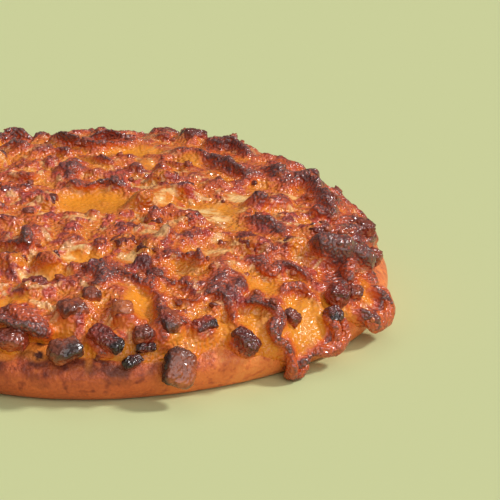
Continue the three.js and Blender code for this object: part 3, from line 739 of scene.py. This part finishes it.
def lean_over(total, on_sheet):
    """How far each place leans in u and v: high places a little by chance, and the folds and the blister
    over towards the front."""
    high = np.maximum(blur(total, FACET) - blur(total, 3.5), 0) * smooth_step(74, 66, from_middle)
    lean = 1.1 * np.minimum(high, MOST_LEAN)
    lean_u, lean_v = lean * grid_noise(8, 1, 40), lean * (grid_noise(8, 1, 44) - 0.45)
    lean_v -= 0.35 * fold_hang * beside_dome * on_sheet * smooth_step(72, 64, from_middle)
    lean_v -= 0.8 * on_dome * smooth_step(2, 6, dome)
    return lean_u, lean_v


def sheet_faces(total):
    """The cells of the sheet's grid that have cheese."""
    rows = CELLS + 1
    faces = []
    for i in range(CELLS):
        for j in range(CELLS):
            if total[i:i + 2, j:j + 2].max() > SHEET_EDGE:
                corner = i * rows + j
                faces.append((corner, corner + 1, corner + rows + 1, corner + rows))
    return faces


def shape_cheese():
    """The cheese in one sheet: the smoothed solid, drawn up over the dice, with its folds and blister, then
    the bits under its skin, and last the creases. It keeps what the material reads at each place."""
    lift, on_sheet = smoothed_sheet()
    drawn_up = drawn_over_dice()
    folded = 0.3 * fold_rise - 0.9 * hollows * smooth_step(1.6, 3.0, lift)
    lift += drawn_up + on_sheet * beside_dome * folded
    lift = np.where(on_dome > 0, np.maximum(lift, dome), lift)
    flat_rim = smooth_step(1.6, 0.8, lift - blur(lift, 3.5))
    hem = smooth_step(58, 68, from_middle) * smooth_step(-30, -48, grid_v) * flat_rim
    raised, meat, shred, tone = stamp_bits(lift)
    puffed = smooth_step(10, 40, grid_v + 0.35 * grid_u) * beside_dome * (1 - smoothed)
    lift += 0.2 * puffed * fold_rise * on_sheet
    shows = 0.8 * (1 - 0.4 * hem) * (1 - 0.8 * on_dome) * (1 - 0.45 * puffed)
    raised, meat, shred = raised * shows, meat * shows * (1 - 0.5 * crests), shred * shows
    ridge = np.maximum(smooth_step(0.15, 1.1, lift - blur(lift, 3.5)), crests)
    rough = (1 - 0.85 * smoothed) * (1 - 0.6 * hem) * (1 - 0.6 * hollows) * (1 - 0.25 * on_dome) * on_sheet
    crease = 1 - 2 * np.abs(grid_noise(3.0, 2, 21))
    crinkle = 1 - 2 * np.abs(grid_noise(1.6, 2, 3))
    creased = 0.2 * crease + (0.08 + 0.26 * ridge) * crinkle
    total = lift + raised * (1 - 0.5 * ridge) + rough * creased
    total += rough * 0.15 * grid_noise(1.0, 1, 8) + 0.25 * smoothed * grid_noise(4.5, 2, 30)
    browning = browned(total, lift, drawn_up, hem, shred)
    lean_u, lean_v = lean_over(total, on_sheet)
    points = place(flat_u + lean_u.ravel(), flat_v + lean_v.ravel(), total.ravel())
    points[:, 2] = np.maximum(points[:, 2], CHEESE_LOWEST)
    piece = new_mesh("cheese_topping_skin", points, sheet_faces(total))
    calm = np.maximum(smoothed, np.maximum(0.5 * hem, 0.2 * on_dome))
    pale_share = np.maximum(0.8 * pale, 0.55 * shred * smooth_step(0.8, 0.5, browning))
    marks = {"browning": browning, "meat": meat, "tone": tone, "pool": calm, "pale": pale_share}
    for name, values in marks.items():
        keep_values(piece, name, values.ravel())
    return piece, total


cheese, cheese_top = shape_cheese()


def browned_mozzarella():
    """Baked mozzarella: oily orange in the pools, red-brown on the bumps, and dull grey-brown where it
    browned deepest, a grey that is partly painted sheen. Bits of salami tint it red."""
    skin = new_material("browned_mozzarella")
    where = add_node(skin, "ShaderNodeTexCoord").outputs["Object"]
    browning, meat, tone, calm, pale_share = (
        add_node(skin, "ShaderNodeAttribute", {"attribute_name": name}).outputs["Fac"]
        for name in ("browning", "meat", "tone", "pool", "pale"))
    mottle = add_node(skin, "ShaderNodeTexNoise",
                      {"Scale": 1 / (0.8 * MM), "Detail": 4.0, "Roughness": 0.8}, {"Vector": where})
    uneven = add_node(skin, "ShaderNodeMath", {"operation": "MULTIPLY_ADD", 1: 1.5, 2: -0.75}, {0: mottle})
    mottled = add_node(skin, "ShaderNodeMapRange", {"To Min": 1.0, "To Max": 0.3}, {"Value": calm})
    baked = add_node(skin, "ShaderNodeMath", {"operation": "MULTIPLY_ADD", "use_clamp": True},
                     {0: uneven, 1: mottled, 2: browning})
    cheese_colour = add_node(skin, "ShaderNodeValToRGB", {}, {"Fac": baked})
    # The deepest end is grey-brown: partly the colour of the deepest browning, partly a painted sheen
    colour_stops(cheese_colour, [
        (0.00, "E8922C"), (0.12, "E28426"), (0.26, "DE7624"), (0.42, "D86826"),
        (0.58, "D05A28"), (0.72, "C04E2A"), (0.84, "A84A32"), (0.93, "86463A"), (1.00, "68423E"),
    ])
    meat_tone = add_node(skin, "ShaderNodeMath", {"operation": "MULTIPLY_ADD", 1: 0.5}, {0: tone, 2: baked})
    meat_colour = add_node(skin, "ShaderNodeValToRGB", {}, {"Fac": meat_tone})
    colour_stops(meat_colour, [
        (0.15, "E4704C"), (0.42, "D05444"), (0.68, "B8403A"), (0.90, "923634"), (1.00, "703432"),
    ])
    bitty = add_node(skin, "ShaderNodeMix", {"data_type": "RGBA"},
                     {"Factor": meat, "A": cheese_colour, "B": meat_colour})
    colour = add_node(skin, "ShaderNodeMix", {"data_type": "RGBA", "B": from_hex("FAD898")},
                      {"Factor": pale_share, "A": bitty.outputs[2]})
    # The crinkles of the skin and the sparkle of its oil are finer than these, and drawn so that they show
    grain, oil = (
        add_node(skin, "ShaderNodeTexNoise", {"Scale": 1 / (size * MM), "Detail": 0.0}, {"Vector": where})
        for size in (0.8, 0.6))
    depth = add_node(skin, "ShaderNodeMapRange", {"To Min": 1.0, "To Max": 0.4}, {"Value": calm})
    relief = add_node(skin, "ShaderNodeBump", {"Distance": 0.75 * MM}, {"Strength": depth, "Height": grain})
    gloss = add_node(skin, "ShaderNodeMapRange",
                     {"From Min": 0.4, "From Max": 0.6, "To Min": 0.32, "To Max": 0.12}, {"Value": oil})
    shine = add_node(skin, "ShaderNodeMapRange", {"To Min": 0.9, "To Max": 0.2}, {"Value": calm})
    shader = add_node(skin, "ShaderNodeBsdfPrincipled", {"IOR": 1.46},
                      {"Base Color": colour.outputs[2], "Roughness": gloss, "Specular IOR Level": shine,
                       "Normal": relief})
    add_node(skin, "ShaderNodeOutputMaterial", {}, {"Surface": shader})
    return skin


mozzarella = browned_mozzarella()
cheese.data.materials.append(mozzarella)
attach(cheese, "root")
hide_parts("cheese_topping")

# The folds at the rim: strands of the same cheese that ran out to the rim and over it, and baked to crusty
# red-brown ropes, half sunk in the sheet. The folds further in are part of the sheet's own relief.
FOLD_SINK = 0.9
RIM_FOLDS_REACH = 60.0
RING_POINTS = 16
RING_STEP = 0.45


def shape_folds():
    """Each fold that comes near the rim as a lumpy tube of rings along its line, closed at both ends."""
    points, faces, browning = [], [], []
    turn = np.linspace(0, 2 * math.pi, RING_POINTS, endpoint=False)
    for width, height, brownest, corners in fold_lines:
        line = line_through(corners, RING_STEP)
        if np.hypot(line[:, 0], line[:, 1]).max() < RIM_FOLDS_REACH:
            continue
        rings = len(line)
        share = np.linspace(0, 1, rings)
        ahead = way_along(line)
        line -= np.stack(wander(place(line[:, 0], line[:, 1], 0.0)), -1)
        closing = np.minimum(1, 8 * np.minimum(share, 1 - share)) ** 0.5
        taper = (0.5 + 0.5 * np.sin(math.pi * share)) * closing
        on_rim = smooth_step(69, 77, np.hypot(line[:, 0], line[:, 1]))
        middle_lift = (CHEESE_THICKNESS - FOLD_SINK) * (1 - 0.25 * on_rim) + 0.42 * height * taper
        across = np.outer((0.44 - 0.07 * on_rim) * width * taper, np.cos(turn))
        u = line[:, :1] - ahead[:, 1:] * across
        v = line[:, 1:] + ahead[:, :1] * across
        lift = middle_lift[:, None] + np.outer((0.54 - 0.08 * on_rim) * height * taper, np.sin(turn))
        corner = place(u.ravel(), v.ravel(), lift.ravel())
        core = np.repeat(place(line[:, 0], line[:, 1], middle_lift), RING_POINTS, axis=0)
        outward = corner - core
        outward /= np.maximum(np.linalg.norm(outward, axis=1, keepdims=True), 1e-6)
        swell = 0.6 * noise_over(corner, 3.4, 2, seed=71)
        swell = swell - 0.25 * np.abs(noise_over(corner, 1.6, 2, seed=73))
        corner += outward * (swell * np.repeat(taper, RING_POINTS))[:, None]
        corner[:, 2] = np.maximum(corner[:, 2], CHEESE_LOWEST)
        first = len(points)
        points += corner.tolist()
        for ring in range(rings - 1):
            for i in range(RING_POINTS):
                j = (i + 1) % RING_POINTS
                a, b = first + ring * RING_POINTS, first + (ring + 1) * RING_POINTS
                faces.append((a + i, a + j, b + j, b + i))
        faces.append(tuple(first + i for i in range(RING_POINTS))[::-1])
        faces.append(tuple(first + (rings - 1) * RING_POINTS + i for i in range(RING_POINTS)))
        top = np.tile(np.sin(turn), rings)
        browning += (brownest - 0.2 + 0.2 * top + 0.2 * noise_over(corner, 2.2, 3, seed=75)).tolist()
    piece = new_mesh("cheese_folds", points, faces)
    keep_values(piece, "browning", np.clip(browning, 0, 1))
    for name in ("meat", "pale", "pool"):
        keep_values(piece, name, [0.0] * len(points))
    keep_values(piece, "tone", [0.5] * len(points))
    return piece


folds = shape_folds()
folds.data.materials.append(mozzarella)
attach(folds, "root")

# The dice: cubes of cured salami that stand out of the cheese. Their fat has run out in the oven,
# so they shrank and wrinkled into crusty, uneven lumps with black edges and a greasy sparkle.

# How dark each die is, how far browned cheese covers it, how rounded it baked, the way that its blackened
# end points, in degrees, and how black that end is
dice_looks = {
    "salami_01": (0.22, 0.8, 11, -50, 0.3),
    "salami_02": (0.2, 0.0, 5, -40, 0.5),
    "salami_03": (0.14, 0.5, 8, 140, 0.0),
    "salami_04": (0.48, 0.0, 6, 180, 0.15),
    "salami_05": (0.48, 0.0, 6, -160, 0.2),
    "salami_06": (0.22, 0.9, 18, 160, 0.6),
    "salami_07": (0.1, 0.7, 7, -60, 0.2),
    "salami_08": (0.15, 0.6, 5, 90, 0.0),
    "salami_09": (-0.16, 1.0, 5, 90, 0.0),
    "salami_10": (-0.05, 0.6, 6, -110, 0.4),
    "salami_11": (-0.08, 0.1, 5, -50, 0.5),
    "salami_12": (0.24, 0.0, 9, 110, 0.0),
    "salami_13": (0.16, 0.0, 6, -90, 0.05),
    "salami_14": (0.3, 0.0, 6, -60, 0.15),
}

# The same for every other die, but for the way that its blackened end points
PLAIN_DIE = (0.12, 0.4, 5)
PLAIN_BLACKENED = 0.12
DIE_CUTS = 5


def upward(middle):
    """Square off the crust under a piece: outward on the rim, and up on the crown."""
    radius = math.hypot(middle[0], middle[1])
    along = np.interp(radius, section_radius[:CROWN_STEPS], section_along[:CROWN_STEPS])
    direction = np.array([middle[0], middle[1], 0]) / radius
    step = 0.5
    rise = np.interp(along + step, section_along, section_height)
    rise = rise - np.interp(along, section_along, section_height)
    way = np.array([0, 0, step]) - rise * direction
    return way / np.linalg.norm(way)


def shape_dice():
    """Each die from its solid, cut finer, rounded, and then wrinkled and swollen along its own corners."""
    points, faces, char_and_shade, tone, covered = [], [], [], [], []
    draw = np.random.default_rng(23)
    for node in dice_nodes:
        plain = (*PLAIN_DIE, draw.uniform(-180, 180), PLAIN_BLACKENED)
        dark, cover, rounded, black_way, blackened = dice_looks.get(node, plain)
        body = bmesh.new()
        body.from_mesh(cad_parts[node].data)
        bmesh.ops.remove_doubles(body, verts=body.verts, dist=0.01 * MM)
        bmesh.ops.subdivide_edges(body, edges=body.edges, cuts=DIE_CUTS, use_grid_fill=True)
        for _ in range(rounded):
            bmesh.ops.smooth_vert(body, verts=body.verts, factor=0.5,
                                  use_axis_x=True, use_axis_y=True, use_axis_z=True)
        body.verts.ensure_lookup_table()
        corner = np.array([p.co[:] for p in body.verts]) / MM
        first = len(points)
        faces += [[first + p.index for p in f.verts] for f in body.faces]
        body.free()
        middle = corner.mean(0)
        outward = corner - middle
        length = np.linalg.norm(outward, axis=1)
        crease = 0.3 - np.abs(noise_over(corner, 2.0, 2, seed=6))
        uneven = 0.7 * noise_over(corner, 4.0, 1, seed=16)
        grain = 0.25 * noise_over(corner, 0.9, 2, seed=2)
        swell = 0.25 + 0.7 * crease + uneven + grain
        corner = corner + outward / length[:, None] * swell[:, None]
        points += corner.tolist()
        edge = smooth_step(0.75, 1.0, length / length.max())
        height = corner @ upward(middle)
        baked_top = smooth_step(np.percentile(height, 55), height.max(), height)
        towards_end = outward @ (math.cos(math.radians(black_way)), math.sin(math.radians(black_way)), 0)
        ragged_end = towards_end / towards_end.max() + 0.25 * noise_over(corner, 2, 2, seed=9)
        black_end = smooth_step(0.25, 0.75, ragged_end)
        # Where the wrinkles sink in the colour is darker, which is painted shade; the edges, the top and the
        # blackened end are charring
        baked = dark - 0.04 + 0.2 * edge + 0.36 * baked_top - 0.4 * np.minimum(crease, 0)
        char_and_shade += (baked + blackened * black_end).tolist()
        tone += [draw.uniform(0, 1)] * len(corner)
        patches = cover + 0.7 * noise_over(corner, 4.5, 2, seed=33)
        covered += (cover * smooth_step(0.15, 0.55, patches)).tolist()
    piece = new_mesh("salami_dice", points, faces)
    keep_values(piece, "char_and_shade", np.clip(char_and_shade, 0, 1))
    keep_values(piece, "tone", tone)
    keep_values(piece, "cover", covered)
    return piece


dice = shape_dice()


def cured_salami():
    """Baked salami: dark red meat gone crusty, with black edges and beads of fat that sparkle."""
    meat = new_material("cured_salami")
    where = add_node(meat, "ShaderNodeTexCoord").outputs["Object"]
    # The charring, with painted shade in the sunken wrinkles of the dice
    char_and_shade, tone, cover = (
        add_node(meat, "ShaderNodeAttribute", {"attribute_name": name}).outputs["Fac"]
        for name in ("char_and_shade", "tone", "cover"))
    mottle = add_node(meat, "ShaderNodeTexNoise",
                      {"Scale": 1 / (1.2 * MM), "Detail": 3.0, "Roughness": 0.7}, {"Vector": where})
    uneven = add_node(meat, "ShaderNodeMath", {"operation": "MULTIPLY_ADD", 1: 0.9, 2: -0.45}, {0: mottle})
    darker = add_node(meat, "ShaderNodeMath", {"operation": "MULTIPLY_ADD", 1: 0.2}, {0: tone, 2: uneven})
    baked = add_node(meat, "ShaderNodeMath", {"operation": "ADD", "use_clamp": True}, {0: char_and_shade, 1: darker})
    colour = add_node(meat, "ShaderNodeValToRGB", {}, {"Fac": baked})
    colour_stops(colour, [
        (0.05, "D2663A"), (0.22, "B4442A"), (0.42, "8E3222"),
        (0.62, "6E2A20"), (0.82, "4C2420"), (1.00, "2E1E1C"),
    ])
    browned_cheese = add_node(meat, "ShaderNodeValToRGB", {}, {"Fac": baked})
    colour_stops(browned_cheese, [
        (0.00, "D67C3C"), (0.30, "B25A2E"), (0.55, "884226"), (0.80, "603224"), (1.00, "3E2620"),
    ])
    topped = add_node(meat, "ShaderNodeMix", {"data_type": "RGBA"},
                      {"Factor": cover, "A": colour, "B": browned_cheese})
    # The wrinkles and the beads of fat are finer than these, and drawn so that they show
    grain, fat = (
        add_node(meat, "ShaderNodeTexNoise", {"Scale": 1 / (size * MM), "Detail": 0.0}, {"Vector": where})
        for size in (0.7, 0.6))
    wrinkled = add_node(meat, "ShaderNodeMapRange", {"To Min": 1.0, "To Max": 0.3}, {"Value": cover})
    relief = add_node(meat, "ShaderNodeBump", {"Distance": 0.7 * MM},
                      {"Strength": wrinkled, "Height": grain})
    gloss = add_node(meat, "ShaderNodeMapRange",
                     {"From Min": 0.4, "From Max": 0.6, "To Min": 0.32, "To Max": 0.16}, {"Value": fat})
    shader = add_node(meat, "ShaderNodeBsdfPrincipled", {"IOR": 1.46, "Specular IOR Level": 0.9},
                      {"Base Color": topped.outputs[2], "Roughness": gloss, "Normal": relief})
    add_node(meat, "ShaderNodeOutputMaterial", {}, {"Surface": shader})
    return meat


salami = cured_salami()
dice.data.materials.append(salami)
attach(dice, "root")
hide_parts(*dice_nodes)

# The crumbs: what broke off the salami as it was chopped, strewn between the dice. They lie half sunk
# in the melted cheese and baked to hard red-brown grains.
CRUMB_CELLS = 3
CRUMBS_BY_RULE = 60
CRUMBS_REACH = 60
CRUMB_STAND = 1.1
CRUMBS_APART = 2.8


def crumb_peaks():
    """The places where the cheese's solid holds a single crumb, as a narrow peak."""
    stand = sheet_lift - blur(sheet_lift, RIDGE)
    peak = (stand > CRUMB_STAND) & (stand >= extreme_near(stand, CRUMBS_APART, np.maximum))
    return list(zip(grid_u[peak], grid_v[peak]))


def cube_shell(cells):
    """The corners of a cube's surface from -1 to 1, with the faces between them."""
    steps = range(cells + 1)
    corners = [(x, y, z) for x in steps for y in steps for z in steps if {x, y, z} & {0, cells}]
    number = {corner: i for i, corner in enumerate(corners)}
    faces = []
    for side in range(3):
        for a in range(cells):
            for b in range(cells):
                for level in (0, cells):
                    ring = [(a, b), (a + 1, b), (a + 1, b + 1), (a, b + 1)]
                    face = [number[tuple(np.roll((level, *pair), side))] for pair in ring]
                    faces.append(face if level else face[::-1])
    return np.array(corners) * 2 / cells - 1, np.array(faces)


def value_at(u, v, grid):
    """The value of the sheet's grid nearest to each place."""
    wide = np.abs(u) >= np.abs(v)
    reach = np.hypot(u, v) / SHEET_REACH
    sign_u, sign_v = np.where(u < 0, -1, 1), np.where(v < 0, -1, 1)
    slope = 4 / math.pi * np.arctan(np.where(wide, v / np.where(wide, u, 1), u / np.where(wide, 1, v)))
    x = np.where(wide, reach * sign_u, reach * sign_v * slope)
    y = np.where(wide, reach * sign_u * slope, reach * sign_v)
    column = np.clip(np.rint((x + 1) / 2 * CELLS), 0, CELLS).astype(int)
    row = np.clip(np.rint((y + 1) / 2 * CELLS), 0, CELLS).astype(int)
    return grid[column, row]


def shape_crumbs():
    """Blunt, lumpy blocks on the cheese, one over each crumb of its solid and more between them."""
    draw = np.random.default_rng(31)
    spots = [(u, v, draw.uniform(0.6, 1.1)) for u, v in crumb_peaks()]
    for _ in range(CRUMBS_BY_RULE):
        spots.append((*anywhere(draw, CRUMBS_REACH), 0.5 + 0.8 * draw.uniform(0, 1) ** 2))
    u, v, half = (np.array(values) for values in zip(*spots))
    clear = (value_at(u, v, smoothed) < 0.35) & (value_at(u, v, sheet_lift) > 0.8)
    u, v, half = u[clear], v[clear], half[clear]
    lift = value_at(u, v, blur(cheese_top, FACET))
    shell, shell_faces = cube_shell(CRUMB_CELLS)
    foot = place(u, v, lift)
    up = place(u, v, lift + 1) - foot
    up /= np.linalg.norm(up, axis=1, keepdims=True)
    points, faces, char_and_shade, tone = [], [], [], []
    for i in range(len(u)):
        blunt = draw.uniform(2.6, 6)
        size = half[i] * draw.uniform((0.8, 0.65, 0.5), (1.25, 1.0, 0.85))
        corner = shell / (np.abs(shell) ** blunt).sum(1, keepdims=True) ** (1 / blunt)
        corner = corner * size * (1 + 0.25 * draw.uniform(-1, 1, (len(shell), 1)))
        lean = Vector(up[i] + draw.uniform(-0.5, 0.5, 3)).normalized()
        upright = lean.to_track_quat("Z", "Y").to_matrix() @ Matrix.Rotation(draw.uniform(0, 6.3), 3, "Z")
        sunk = foot[i] + up[i] * size[2] * draw.uniform(-0.8, 0.0)
        faces += (shell_faces + len(points)).tolist()
        points += (corner @ np.array(upright).T + sunk).tolist()
        edge = smooth_step(0.8, 1.25, np.linalg.norm(corner / size, axis=1))
        char_and_shade += (draw.uniform(-0.1, 0.3) + 0.2 * edge).tolist()
        tone += [draw.uniform(0, 1)] * len(shell)
    piece = new_mesh("salami_crumbs", points, faces)
    keep_values(piece, "cover", [0.5] * len(points))
    keep_values(piece, "char_and_shade", np.clip(char_and_shade, 0, 1))
    keep_values(piece, "tone", tone)
    return piece


crumbs = shape_crumbs()
crumbs.data.materials.append(salami)
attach(crumbs, "root")

# The floor: a level board covered in matt paper of a pale green. The pizza lies free on it, and it is
# wide enough to fill every view.
FLOOR_REACH = 3000


def shape_floor():
    corners = [(-1, -1, 0), (1, -1, 0), (1, 1, 0), (-1, 1, 0)]
    return new_mesh("floor", FLOOR_REACH * np.array(corners), [(0, 1, 2, 3)])


floor = shape_floor()


def pale_paper():
    """Matt paper: one flat pale colour with no shine."""
    paper = new_material("pale_paper")
    shader = add_node(paper, "ShaderNodeBsdfPrincipled",
                      {"Base Color": from_hex("CBD09A"), "Roughness": 0.9, "Specular IOR Level": 0.0})
    add_node(paper, "ShaderNodeOutputMaterial", {}, {"Surface": shader})
    return paper


floor.data.materials.append(pale_paper())

# The light: a small lamp high on the right, which brings out the relief and the sparkle of the oil, with
# soft lamps in front, overhead and behind, and a weak even light from all round. Together they light a
# level matt surface to just its own colour.

# The way that each lamp's light falls, its share of the light on a level surface, and how wide the lamp
# looks from the pizza, in degrees
LAMPS = {
    "side_lamp": ((-1.0, -0.12, -1.0), 0.47, 10),
    "front_lamp": ((-0.5, 1.0, -0.75), 0.22, 60),
    "top_lamp": ((0.0, 0.1, -1.0), 0.08, 90),
    "back_lamp": ((0.15, -0.6, -1.0), 0.04, 24),
}


def studio_light():
    """Sets up the lamps, and the even light with the share that they leave."""
    even_share = 1
    for name, (way, share, wide) in LAMPS.items():
        way = Vector(way).normalized()
        lamp = bpy.data.lights.new(name, "SUN")
        lamp.energy = math.pi * share / -way.z
        lamp.angle = math.radians(wide)
        holder = bpy.data.objects.new(name, lamp)
        bpy.context.scene.collection.objects.link(holder)
        holder.rotation_euler = way.to_track_quat("-Z", "Y").to_euler()
        even_share -= share
    world = bpy.data.worlds.new("even_light")
    bpy.context.scene.world = world
    world.use_nodes = True
    background = world.node_tree.nodes["Background"]
    background.inputs["Color"].default_value = (1, 1, 1, 1)
    background.inputs["Strength"].default_value = even_share


studio_light()

# The camera: set to the photograph's view, 600 mm off and 22 degrees above the table, and turned a little
# to the right, so that the pizza runs out of the picture on the left.
VIEW_ELEVATION = math.radians(22)
VIEW_DISTANCE = 600
AIM_HEIGHT = 10
FOCAL_PIXELS = 2484
PICTURE_PIXELS = 500
AIM_PIXEL_X = 101.0
AIM_PIXEL_Y = 240.4


def photo_camera():
    """Looks at the pizza's middle and then turns, so that the middle comes out at the aim's pixel."""
    lens = bpy.data.cameras.new("photo_camera")
    lens.sensor_width = 36
    lens.lens = lens.sensor_width * FOCAL_PIXELS / PICTURE_PIXELS
    lens.clip_start = 0.01
    camera = bpy.data.objects.new("photo_camera", lens)
    bpy.context.scene.collection.objects.link(camera)
    back = Vector((0, -math.cos(VIEW_ELEVATION), math.sin(VIEW_ELEVATION)))
    place_of_camera = Vector((0, 0, AIM_HEIGHT * MM)) + back * VIEW_DISTANCE * MM
    turn_right = math.atan((PICTURE_PIXELS / 2 - AIM_PIXEL_X) / FOCAL_PIXELS)
    tip_down = math.atan((PICTURE_PIXELS / 2 - AIM_PIXEL_Y) / FOCAL_PIXELS)
    level = Matrix.Rotation(math.pi / 2 - VIEW_ELEVATION, 4, "X")
    aim = Matrix.Rotation(-turn_right, 4, "Y") @ Matrix.Rotation(-tip_down, 4, "X")
    camera.matrix_world = Matrix.Translation(place_of_camera) @ level @ aim
    bpy.context.scene.camera = camera


photo_camera()
# Colours come out as they were set, with no film curve
bpy.context.scene.view_settings.view_transform = "Standard"
